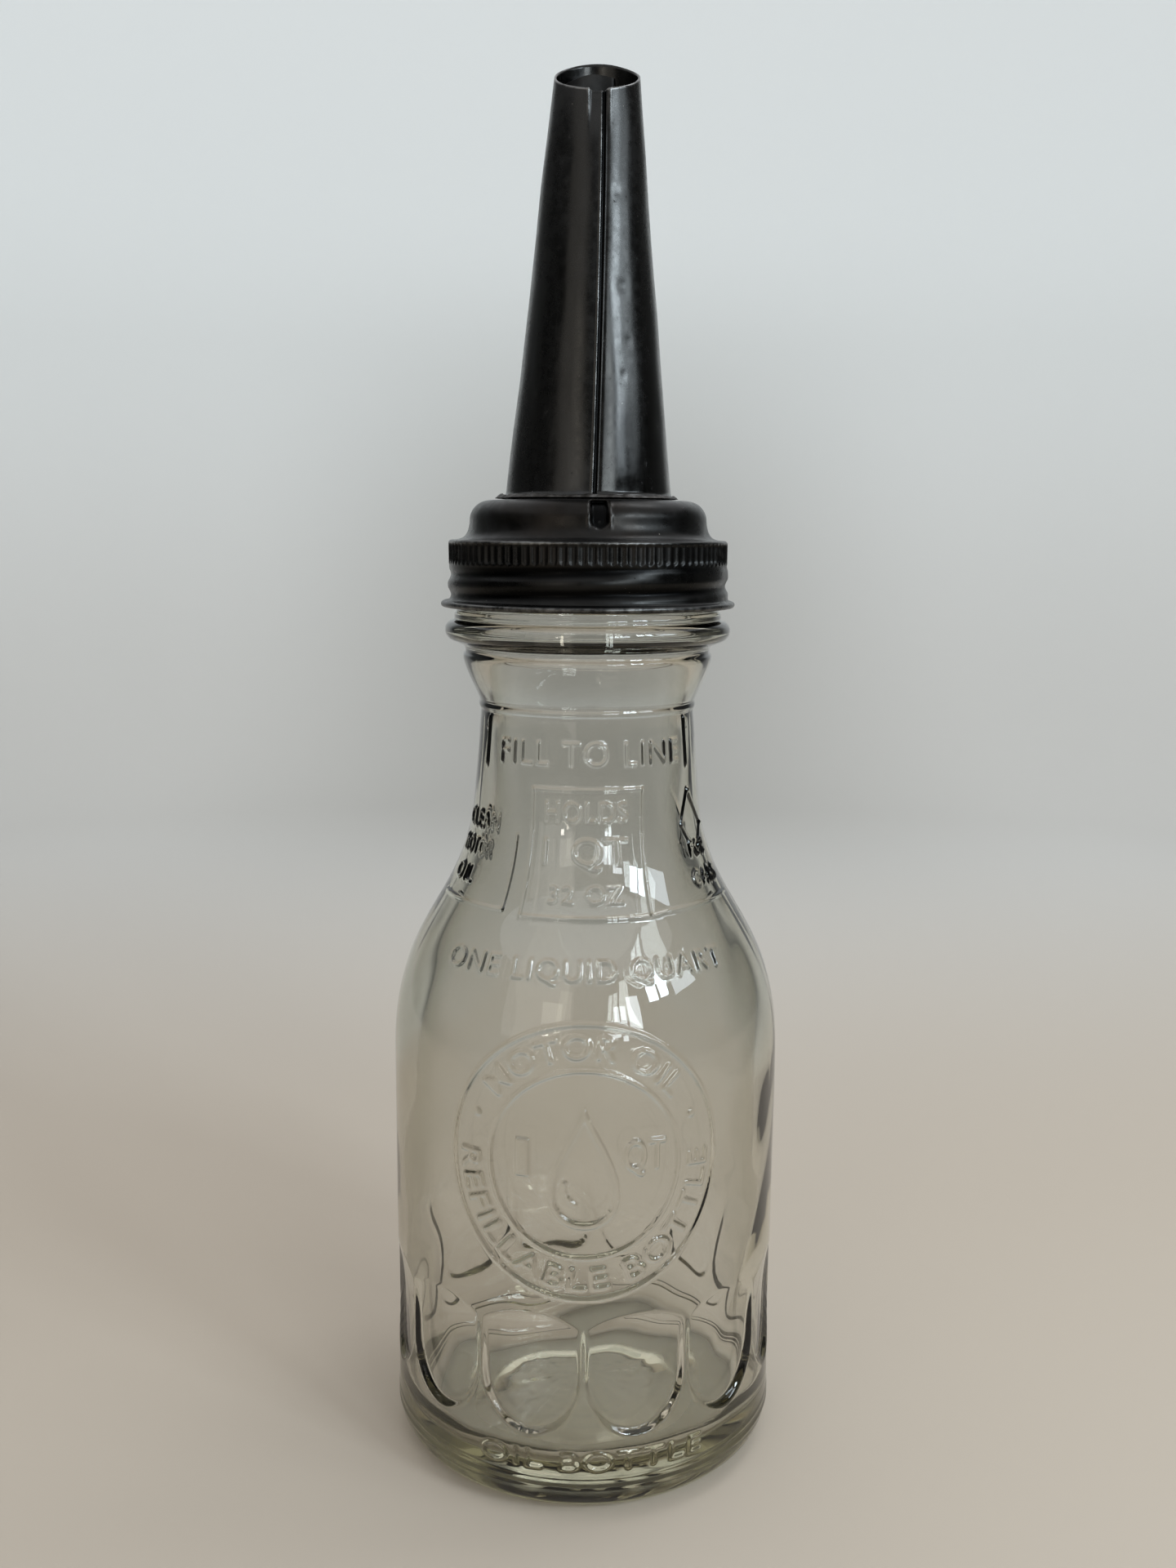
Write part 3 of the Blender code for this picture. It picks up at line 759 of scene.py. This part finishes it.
def makeDuct():
    # a curved strip that stands off the back wall; its two skins and four edges are one closed band
    d = duct
    across = np.linspace(0, 1, 61)
    angle = np.radians(d["start"] + (d["end"] - d["start"]) * across)
    top = rimHeight(angle) - d["drop"]
    low = ductLow[2] * perMetre
    rows = np.concatenate([np.linspace(0, 0.9, 40), np.linspace(0.91, 1, 12)])[:, None]
    height = low + (top - low) * rows
    bulge = d["standOff"] * np.sin(math.pi * across) ** 0.7
    radius = coneRadius(height) - cone["sheet"] - d["clear"] - bulge + ripple(angle, height, d["waves"])
    between = np.linspace(0, 1, 4)[1:-1]
    sections = []
    for k in range(len(rows)):
        outer = np.stack([radius[k], angle, height[k]], 1)
        inner = outer[::-1] - np.array([d["sheet"], 0, 0])
        ends = [outer[-1] + (inner[0] - outer[-1]) * share for share in between]
        starts = [inner[-1] + (outer[0] - inner[-1]) * share for share in between]
        sections.append(np.concatenate([outer, ends, inner, starts]))
    rings = np.array(sections)
    points = leaning(turnedPoints(rings[..., 0], rings[..., 2], rings[..., 1]))
    count = len(angle)
    ends = []
    for ring in (points[0], points[-1]):
        # both skins meet on the strip's middle line, which closes it below and above
        line = (ring[:count] + ring[count + 2:count * 2 + 2][::-1]) / 2
        ends.append(np.concatenate([line, [line[-1]] * 2, line[::-1], [line[0]] * 2]))
    strip = ringMesh("duct_strip", np.concatenate([[ends[0]], points, [ends[1]]]))
    tidyStrip(strip)
    return strip


def tidyStrip(strip):
    # joins the doubled points along the two folded ends, so that the strip is one closed body
    bm = bmesh.new()
    bm.from_mesh(strip.data)
    bmesh.ops.remove_doubles(bm, verts=bm.verts, dist=1e-6)
    bmesh.ops.recalc_face_normals(bm, faces=bm.faces)
    bm.to_mesh(strip.data)
    bm.free()
    strip.data.set_sharp_from_angle(angle=math.radians(50))


solder = {
    "clear": 0.12,
    "lumps": [(7, 50, 0.3, 0.16), (13, 50, 1.9, 0.14), (29, 50, 0.8, 0.1), (41, 50, 2.4, 0.08)],
}


def makeSolder():
    # a lumpy fillet round the cone's foot, heavier on the left
    low = solderLow[2] * perMetre
    start = cone["footRadius"] + solder["clear"]
    angle = np.linspace(0, 2 * math.pi, 361)[:-1][None, :]
    size = 1 + ripple(angle, 0 * angle, solder["lumps"])
    size = size * (0.8 + 0.35 * smoothStep(0.2, 1.0, -np.sin(angle)))
    across = np.array([0.0, 0.35, 0.75, 1.05, 1.25, 1.25, 0.8, 0.3, 0.0])[:, None]
    up = np.array([0.85, 0.8, 0.5, 0.22, 0.08, 0.0, 0.0, 0.0, 0.0])[:, None]
    points = turnedPoints(start + across * size, low + up * size + 0 * across, angle)
    return ringMesh("solder_bead", points[::-1], closed=True)


gasket = {"width": 5.0, "roughness": [(9, 7, 0.1, 0.05), (23, 3, 1.0, 0.04), (57, 2, 0.5, 0.03)]}


def makeGasket():
    low, high = gasketLow[2] * perMetre, gasketHigh[2] * perMetre
    outer = (gasketHigh[0] - gasketLow[0]) / 2 * perMetre
    inner = outer - gasket["width"]
    parts = [[(inner, low + 0.2), (inner + 0.2, low), (outer - 0.3, low), (outer, low + 0.3),
              (outer, high - 0.3), (outer - 0.3, high), (inner + 0.2, high), (inner, high - 0.2)]]
    line, _ = spacedLine(parts, lambda r, z: 0.35)
    angle = np.linspace(0, 2 * math.pi, 241)[:-1][None, :]
    rough = ripple(angle, line[:, 1:], gasket["roughness"]) - 0.1
    out = outwards(line)
    points = turnedPoints(line[:, :1] + rough * out[:, :1], line[:, 1:] + rough * out[:, 1:], angle)
    return ringMesh("gasket_cork", points, closed=True)


ductStrip = makeDuct()
solderBead = makeSolder()
gasketCork = makeGasket()
print("duct, solder and gasket")


class Finish:
    # a small helper round one material's nodes
    def __init__(self, name):
        self.material = bpy.data.materials.new(name)
        self.material.use_nodes = True
        self.nodes, self.links = self.material.node_tree.nodes, self.material.node_tree.links
        self.shader = self.nodes["Principled BSDF"]
        self.place = self.nodes.new("ShaderNodeTexCoord").outputs["Object"]

    def set(self, **values):
        for label, value in values.items():
            self.shader.inputs[label.replace("_", " ")].default_value = value

    def noise(self, scale, detail=4.0, rough=0.5, stretch=None, twist=0.0):
        node = self.nodes.new("ShaderNodeTexNoise")
        node.inputs["Scale"].default_value = scale
        node.inputs["Detail"].default_value = detail
        node.inputs["Roughness"].default_value = rough
        node.inputs["Distortion"].default_value = twist
        source = self.place
        if stretch:
            mapping = self.nodes.new("ShaderNodeMapping")
            mapping.inputs["Scale"].default_value = stretch
            self.links.new(source, mapping.inputs["Vector"])
            source = mapping.outputs["Vector"]
        self.links.new(source, node.inputs["Vector"])
        return node.outputs["Fac"]

    def ramp(self, source, stops):
        node = self.nodes.new("ShaderNodeValToRGB")
        while len(node.color_ramp.elements) < len(stops):
            node.color_ramp.elements.new(0.5)
        for element, (at, colour) in zip(node.color_ramp.elements, stops):
            element.position = at
            element.color = (*colour, 1.0)
        self.links.new(source, node.inputs["Fac"])
        return node.outputs["Color"]

    def scaled(self, source, low, high, fromLow=0.0, fromHigh=1.0):
        node = self.nodes.new("ShaderNodeMapRange")
        node.interpolation_type = "SMOOTHSTEP"
        node.inputs["From Min"].default_value = fromLow
        node.inputs["From Max"].default_value = fromHigh
        node.inputs["To Min"].default_value = low
        node.inputs["To Max"].default_value = high
        self.links.new(source, node.inputs["Value"])
        return node.outputs["Result"]

    def mark(self, label):
        node = self.nodes.new("ShaderNodeAttribute")
        node.attribute_name = label
        return node.outputs["Fac"]

    def mix(self, share, a, b):
        node = self.nodes.new("ShaderNodeMix")
        node.data_type = "RGBA"
        self.links.new(share, node.inputs["Factor"])
        for source, socket in ((a, node.inputs["A"]), (b, node.inputs["B"])):
            if isinstance(source, tuple):
                socket.default_value = (*source, 1.0)
            else:
                self.links.new(source, socket)
        return node.outputs["Result"]

    def math(self, operation, a, b):
        node = self.nodes.new("ShaderNodeMath")
        node.operation = operation
        for source, socket in ((a, node.inputs[0]), (b, node.inputs[1])):
            if isinstance(source, (int, float)):
                socket.default_value = source
            else:
                self.links.new(source, socket)
        return node.outputs["Value"]

    def feed(self, source, label):
        self.links.new(source, self.shader.inputs[label])

    def bump(self, source, strength, distance, under=None):
        node = self.nodes.new("ShaderNodeBump")
        node.inputs["Strength"].default_value = strength
        node.inputs["Distance"].default_value = distance
        self.links.new(source, node.inputs["Height"])
        if under is not None:
            self.links.new(under, node.inputs["Normal"])
        return node.outputs["Normal"]


glassLook = {
    "ior": 1.5,
    # the body and neck tints are the glass's own tint, darkened further as painted shade for the shaded
    # backdrop seen through the glass, most at the neck
    "bodyTintAndShade": (0.89, 0.892, 0.885),
    "neckTintAndShade": (0.835, 0.835, 0.825),
    "edgeShade": (0.62, 0.61, 0.54),        # painted shade where the glass is seen at a grazing angle
    "depthTint": (0.80, 0.78, 0.675),      # what the thickness of the glass takes away
    "depthDensity": 68.0,
}


def clearGlass():
    f, g = Finish("clear moulded glass"), glassLook
    f.set(Base_Color=(1, 1, 1, 1), Roughness=0.0, IOR=g["ior"], Transmission_Weight=1.0)
    smears = f.scaled(f.noise(90, 3), 0.0, 0.035, 0.5, 0.75)
    scuffed = f.scaled(f.mark("scuff"), 0.0, 0.35)
    f.feed(f.math("ADD", smears, scuffed), "Roughness")
    # painted shade: the glass's colour darkens where it is seen at a grazing angle, fading in from 10 to 26 mm
    # up
    edge = f.nodes.new("ShaderNodeLayerWeight")
    edge.inputs["Blend"].default_value = 0.5
    grazing = f.scaled(edge.outputs["Facing"], 0.0, 1.0, 0.34, 0.76)
    apart = f.nodes.new("ShaderNodeSeparateXYZ")
    f.links.new(f.place, apart.inputs["Vector"])
    height = apart.outputs["Z"]            # in metres
    grazing = f.math("MULTIPLY", grazing, f.scaled(height, 0.0, 1.0, 0.010, 0.026))
    # the glass's tint with painted shade, darker on the neck than on the body
    even = f.mix(f.scaled(height, 0.0, 1.0, 0.015, 0.075), (1.0, 1.0, 1.0), g["bodyTintAndShade"])
    even = f.mix(f.scaled(height, 0.0, 1.0, 0.12, 0.19), even, g["neckTintAndShade"])
    f.feed(f.mix(grazing, even, g["edgeShade"]), "Base Color")
    tint = f.nodes.new("ShaderNodeVolumeAbsorption")
    tint.inputs["Color"].default_value = (*g["depthTint"], 1.0)
    tint.inputs["Density"].default_value = g["depthDensity"]
    f.links.new(tint.outputs["Volume"], f.nodes["Material Output"].inputs["Volume"])
    return f.material


# streaks stretches the clouding, browning is how much has gone brown, paleness how pale the tarnish is,
# and matt how much duller than bright
tins = {
    "tarnished tin": {"streaks": (1, 1, 1), "browning": 0.3, "paleness": 0.62, "matt": 0.08},
    "tarnished rolled tin": {"streaks": (1, 1, 0.12), "browning": 0.9, "paleness": 1.12, "matt": 0.0},
    "dull inner tin": {"streaks": (1, 1, 0.5), "browning": 0.3, "paleness": 0.4, "matt": 0.15},
}


def tarnishedTin(name):
    t = tins[name]
    pale, matt = t["paleness"], t["matt"]
    f = Finish(name)
    f.set(Metallic=1.0, Roughness=0.25)
    cloud = f.noise(55, 6, 0.6, t["streaks"], 0.4)
    fine = f.noise(420, 5, 0.65)
    grain = f.noise(2600, 2, 0.5)
    shades = [(0.28, (0.017, 0.0168, 0.0165)), (0.48, (0.027, 0.0266, 0.0255)),
              (0.62, (0.036, 0.0355, 0.0345)), (0.78, (0.062, 0.064, 0.067))]
    base = f.ramp(cloud, [(at, tuple(c * pale for c in colour)) for at, colour in shades])
    brown = f.scaled(f.noise(19, 4, 0.55, t["streaks"]), 0.0, t["browning"], 0.52, 0.68)
    base = f.mix(brown, base, (0.050 * pale, 0.036 * pale, 0.026 * pale))
    # the mark is wear where it is above zero, with a painted glint at the vent hole, and painted shade where
    # it is below zero
    wearAndShade = f.math("MULTIPLY", f.mark("wearAndShade"), f.scaled(fine, 0.55, 1.4, 0.35, 0.65))
    wornAndGlint = f.scaled(wearAndShade, 0.0, 0.85, 0.08, 0.9)
    base = f.mix(wornAndGlint, base, (0.19, 0.187, 0.18))
    # painted shade: near black in the grooves, the seam and the vent pocket
    grooveShade = f.scaled(f.mark("wearAndShade"), 1.0, 0.0, -0.9, -0.15)
    base = f.mix(grooveShade, base, (0.004, 0.004, 0.004))
    specks = f.scaled(f.noise(1500, 1, 0.4), 0.0, 0.7, 0.825, 0.84)
    base = f.mix(specks, base, (0.30, 0.28, 0.25))
    f.feed(base, "Base Color")
    rough = f.scaled(cloud, 0.17 + matt, 0.32 + matt, 0.3, 0.7)
    rough = f.math("ADD", rough, f.scaled(fine, -0.03, 0.06, 0.3, 0.7))
    rough = f.math("ADD", rough, f.scaled(wornAndGlint, 0.0, 0.05))
    f.feed(rough, "Roughness")
    pits = f.scaled(fine, 0.0, 1.0, 0.68, 0.76)
    normal = f.bump(pits, 0.4, -0.0002)
    f.feed(f.bump(grain, 0.15, 0.00004, normal), "Normal")
    return f.material


def dullSolder():
    f = Finish("old solder")
    f.set(Metallic=0.9)
    cloud = f.noise(380, 5, 0.6)
    shades = [(0.35, (0.018, 0.016, 0.014)), (0.55, (0.06, 0.055, 0.05)), (0.72, (0.16, 0.155, 0.15))]
    f.feed(f.ramp(cloud, shades), "Base Color")
    f.feed(f.scaled(cloud, 0.4, 0.65), "Roughness")
    f.feed(f.bump(f.noise(900, 4), 0.5, 0.0002), "Normal")
    return f.material


def oiledCork():
    f = Finish("oiled cork")
    cloud = f.noise(700, 5, 0.7)
    shades = [(0.35, (0.03, 0.016, 0.008)), (0.5, (0.13, 0.075, 0.035)), (0.68, (0.26, 0.17, 0.09))]
    f.feed(f.ramp(cloud, shades), "Base Color")
    f.feed(f.scaled(cloud, 0.6, 0.9), "Roughness")
    f.feed(f.bump(cloud, 0.6, 0.0004), "Normal")
    return f.material


def dress(thing, material, body, nodes):
    thing.data.materials.append(material)
    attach(thing, body)
    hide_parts(*nodes)


dress(glass, clearGlass(), "bottle", ["glass_bottle"])
dress(capTin, tarnishedTin("tarnished tin"), "spout", ["screw_cap"])
dress(coneTin, tarnishedTin("tarnished rolled tin"), "spout", ["spout_cone"])
dress(ductStrip, tarnishedTin("dull inner tin"), "spout", ["vent_duct"])
dress(solderBead, dullSolder(), "spout", ["solder_joint"])
dress(gasketCork, oiledCork(), "gasket", ["sealing_gasket"])
print("materials")


studio = {
    "coveRadius": 1.4,
    "coveCorner": 0.45,
    "coveHeight": 1.1,
    "floor": (0.485, 0.42, 0.345),
    "litPatchUnderBottle": (0.93, 0.84, 0.70),      # painted light: a paler patch of floor under the bottle, which shows through the glass foot
    "lowWall": (0.61, 0.595, 0.56),
    "wall": (0.90, 0.925, 0.915),
    "shade": (0.33, 0.32, 0.29),      # soft shade on the backdrop behind the bottle
    "far": (0.10, 0.10, 0.095),       # painted shade round the sides and in front, standing in for the unlit room
    "sky": (0.95, 0.97, 1.0),
    "skyPower": 1.02,
    "windowDistance": 1.2,
    "windowsFace": (0.0, 0.0, 0.17),  # the point that all windows look at
}

# each window: from and to in degrees to the right of the front, from and to in degrees up, brightness, colour
windows = {
    "right pane near": (17.0, 20.0, 5, 20, 12, (0.85, 0.94, 1.0)),
    "right pane middle": (20.8, 24.0, 3, 20, 12, (0.85, 0.94, 1.0)),
    "right pane far": (25.5, 33.0, 8, 24, 12, (0.85, 0.94, 1.0)),
    "side window near": (40, 46.5, 20, 31, 34, (0.78, 0.90, 1.0)),
    "side window middle": (48, 54, 20.5, 31, 32, (0.78, 0.90, 1.0)),
    "side window far": (58, 76, 19, 30, 8, (0.80, 0.91, 1.0)),
    "left lamp": (-24, -21, 5, 7.5, 18, (1.0, 0.95, 0.88)),
    "left glow": (-25, -14, 9, 22, 1.6, (1.0, 0.93, 0.82)),
    "left room": (-50, -12, 2, 34, 0.8, (1.0, 0.95, 0.88)),
    "high panel": (95, 135, 56, 74, 5, (0.9, 0.95, 1.0)),
}


def sweepPaint():
    # warm pale floor and paler wall, with painted light under the bottle, painted shade low on the wall and
    # behind the bottle, and painted shade in grey round the sides and front so that the glass gets dark edges
    f, s = Finish("studio paint"), studio
    f.set(Roughness=0.9)
    f.shader.inputs["Specular IOR Level"].default_value = 0.1
    apart = f.nodes.new("ShaderNodeSeparateXYZ")
    f.links.new(f.place, apart.inputs["Vector"])
    x, y, z = (apart.outputs[axis] for axis in "XYZ")
    across = f.math("ABSOLUTE", x, 0.0)
    away = f.math("SQRT", f.math("ADD", f.math("MULTIPLY", x, x), f.math("MULTIPLY", y, y)), 0.0)
    # painted light: the floor is paler under the bottle's foot
    pale = f.mix(f.scaled(away, 0.0, 1.0, 0.032, 0.050), s["litPatchUnderBottle"], s["floor"])    # in metres
    # painted shade: the wall is darker at its foot and pales upwards
    pale = f.mix(f.scaled(y, 0.0, 1.0, 0.1, 0.8), pale, s["lowWall"])
    pale = f.mix(f.scaled(z, 0.0, 1.0, 0.0, 0.62), pale, s["wall"])
    behind = f.math("MULTIPLY", f.scaled(across, 0.6, 0.0, 0.02, 0.42), f.scaled(y, 0.0, 1.0, 0.35, 1.0))
    behind = f.math("MULTIPLY", behind, f.scaled(z, 1.0, 0.0, 0.12, 0.60))
    pale = f.mix(behind, pale, s["shade"])
    # painted shade: dark round the sides, and on the upper wall in front
    upward = f.scaled(z, 0.0, 1.0, 0.0, 0.35)
    front = f.scaled(y, 1.0, 0.0, 0.1, 0.9)
    shade = f.math("MAXIMUM", f.math("MULTIPLY", upward, front), f.scaled(across, 0.0, 0.9, 0.72, 1.0))
    f.feed(f.mix(shade, pale, s["far"]), "Base Color")
    return f.material


def makeCove():
    s = studio
    line = np.concatenate([
        [(0.0002, 0.0), (0.5, 0.0)],
        arcLine((s["coveRadius"] - s["coveCorner"], s["coveCorner"]), s["coveCorner"], 270, 360, 24),
        [(s["coveRadius"], s["coveHeight"])],
    ]) * perMetre
    angle = np.linspace(0, 2 * math.pi, 97)[:-1][None, :]
    height = line[:, 1:] - 0.05
    points = turnedPoints(line[:, :1] + 0 * angle, height + 0 * angle, angle)
    cove = ringMesh("studio_cove", points[::-1])
    cove.data.materials.append(sweepPaint())


def makeWindow(name, left, right, low, high, bright, colour):
    distance, middle = studio["windowDistance"], np.array(studio["windowsFace"])
    turn, lift = math.radians((left + right) / 2), math.radians((low + high) / 2)
    away = np.array([math.cos(lift) * math.sin(turn), -math.cos(lift) * math.cos(turn), math.sin(lift)])
    light = bpy.data.lights.new(name, "AREA")
    light.shape = "RECTANGLE"
    light.size = 2 * distance * math.tan(math.radians((right - left) / 2)) * math.cos(lift)
    light.size_y = 2 * distance * math.tan(math.radians((high - low) / 2))
    light.energy, light.color = bright * math.pi * light.size * light.size_y, colour
    lamp = bpy.data.objects.new(name, light)
    bpy.context.scene.collection.objects.link(lamp)
    lamp.location = middle + distance * away
    lamp.rotation_euler = Vector(away).to_track_quat("Z", "Y").to_euler()
    lamp.visible_camera = False


def makeStudio():
    makeCove()
    for name, values in windows.items():
        makeWindow(name, *values)
    world = bpy.data.worlds.new("studio air")
    world.use_nodes = True
    air = world.node_tree.nodes["Background"]
    air.inputs["Color"].default_value = (*studio["sky"], 1.0)
    air.inputs["Strength"].default_value = studio["skyPower"]
    bpy.context.scene.world = world


view = {"place": (0.00036, -0.3904, 0.2418), "down": 9.46, "roll": 0.35, "lens": 34.69}


def makeCamera():
    lens = bpy.data.cameras.new("camera")
    lens.lens, lens.sensor_width = view["lens"], 36.0
    lens.clip_start = 0.01
    camera = bpy.data.objects.new("camera", lens)
    bpy.context.scene.collection.objects.link(camera)
    camera.location = view["place"]
    down = Matrix.Rotation(math.radians(90 - view["down"]), 3, "X")
    roll = Matrix.Rotation(math.radians(view["roll"]), 3, "Z")
    camera.rotation_euler = (down @ roll).to_euler()
    bpy.context.scene.camera = camera


makeStudio()
makeCamera()
bpy.context.scene.view_settings.view_transform = "Standard"
print("studio and camera")
